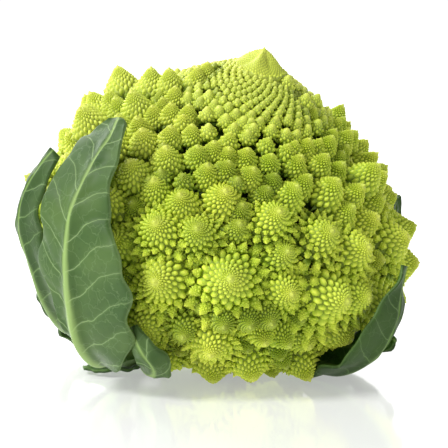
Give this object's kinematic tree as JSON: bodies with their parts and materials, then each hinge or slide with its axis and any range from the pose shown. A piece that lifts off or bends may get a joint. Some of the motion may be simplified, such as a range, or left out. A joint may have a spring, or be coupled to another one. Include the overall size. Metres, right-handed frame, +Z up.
{
  "type": "romanesco head",
  "caption": "Whole romanesco head: a leaning conical curd of spiral florets on a short cut stalk, wrapped at its base by ribbed grey-green leaves; stands on the stalk and its lowest florets.",
  "frame": {"origin": "Centre of the stalk's cut face, on the surface that the head stands on.", "axes": "+Z up, -Y towards the viewer of the picture, +X to the viewer's right. The head's own axis leans 14 degrees to +X and 15 degrees to -Y."},
  "size_m": [0.1737, 0.1921, 0.142],
  "materials": {
    "curd_green": "matte, slightly waxy",
    "stalk_pale_green": "matte",
    "leaf_grey_green": "waxy satin"
  },
  "bodies": {
    "root": {"curd": "curd_green", "stalk": "stalk_pale_green", "leaf_big_front_left": "leaf_grey_green", "leaf_left": "leaf_grey_green", "leaf_low_back_left": "leaf_grey_green", "leaf_small_front_left": "leaf_grey_green", "leaf_on_floor": "leaf_grey_green", "leaf_big_front_right": "leaf_grey_green", "leaf_tall_right": "leaf_grey_green", "leaf_low_right": "leaf_grey_green", "leaf_back_right": "leaf_grey_green", "leaf_back_left": "leaf_grey_green"}
  },
  "joints": []
}
